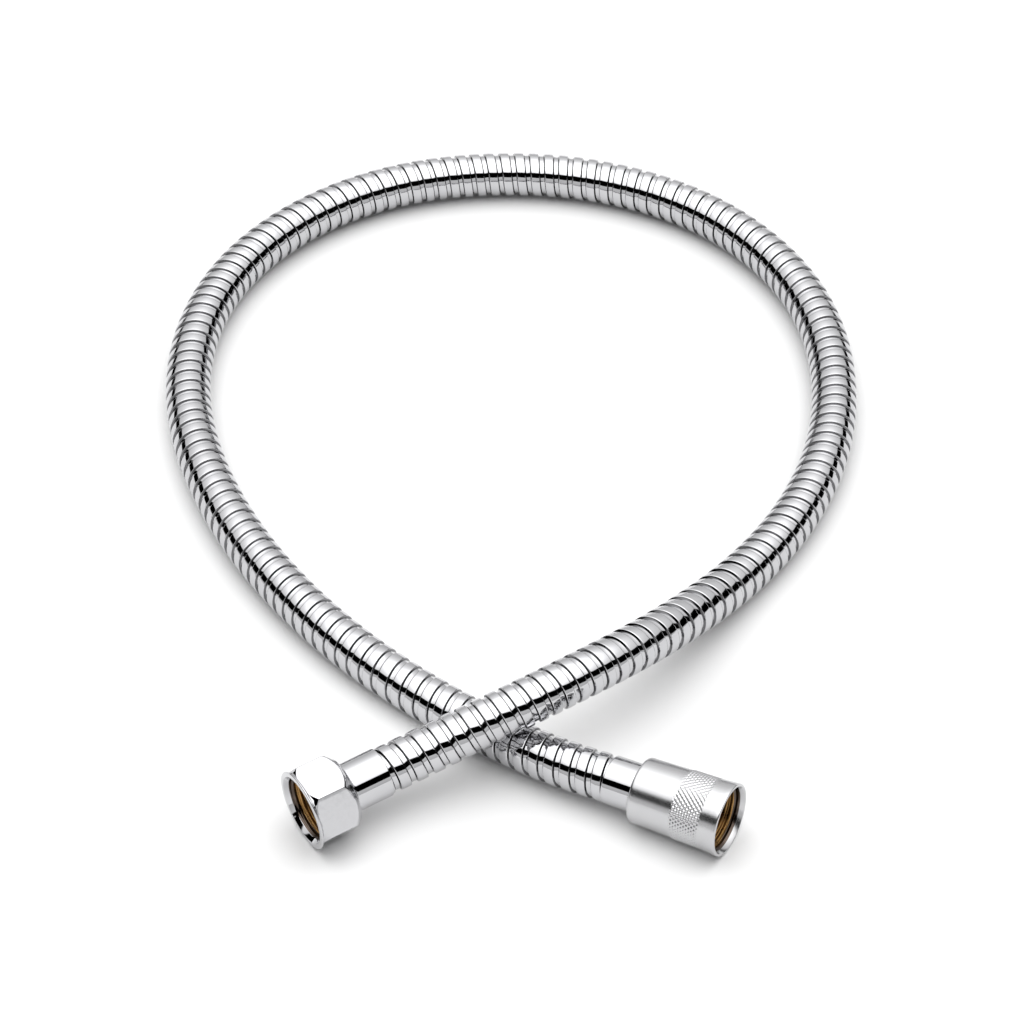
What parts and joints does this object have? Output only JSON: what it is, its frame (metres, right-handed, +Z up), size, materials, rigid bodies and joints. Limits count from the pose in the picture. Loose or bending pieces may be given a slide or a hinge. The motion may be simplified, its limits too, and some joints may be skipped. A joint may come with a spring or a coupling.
{
  "type": "flexible shower hose",
  "caption": "Flexible metal-armoured shower hose lying in a loop, with a swivelling hexagon nut at one end and a swivelling knurled grip nut at the other.",
  "frame": {"origin": "centre of the overall bounding box, on the floor that the hose lies on", "axes": "+Z up, the thin way through the loop; Y along the loop's length, with the two nuts at -Y; +X to the side that the grip nut points to"},
  "size_m": [0.2363, 0.3412, 0.0341],
  "materials": {
    "armour_chrome": "polished, spirally wound strip",
    "polished_chrome": "mirror polished",
    "satin_chrome": "fine satin",
    "brass": "turned, uncoated",
    "rubber": "matt black",
    "liner_plastic": "matt, pale"
  },
  "bodies": {
    "hose": {"hose_armour": "armour_chrome", "hose_liner": "liner_plastic", "hex_ferrule": "polished_chrome", "grip_ferrule": "polished_chrome", "hex_insert": "brass", "grip_insert": "brass", "hex_washer": "rubber", "grip_washer": "rubber"},
    "hex_nut": {"hex_nut": "polished_chrome"},
    "grip_nut": {"grip_nut": "satin_chrome"}
  },
  "joints": [
    {"name": "hex_nut_spin", "type": "hinge", "parent": "hose", "child": "hex_nut", "pos_m": [-0.06455, -0.15787, 0.01325], "axis": [0.8553, 0.5139, 0.0663], "continuous": true},
    {"name": "grip_nut_spin", "type": "hinge", "parent": "hose", "child": "grip_nut", "pos_m": [0.0674, -0.16059, 0.01185], "axis": [-0.886, 0.4622, -0.0384], "continuous": true}
  ]
}
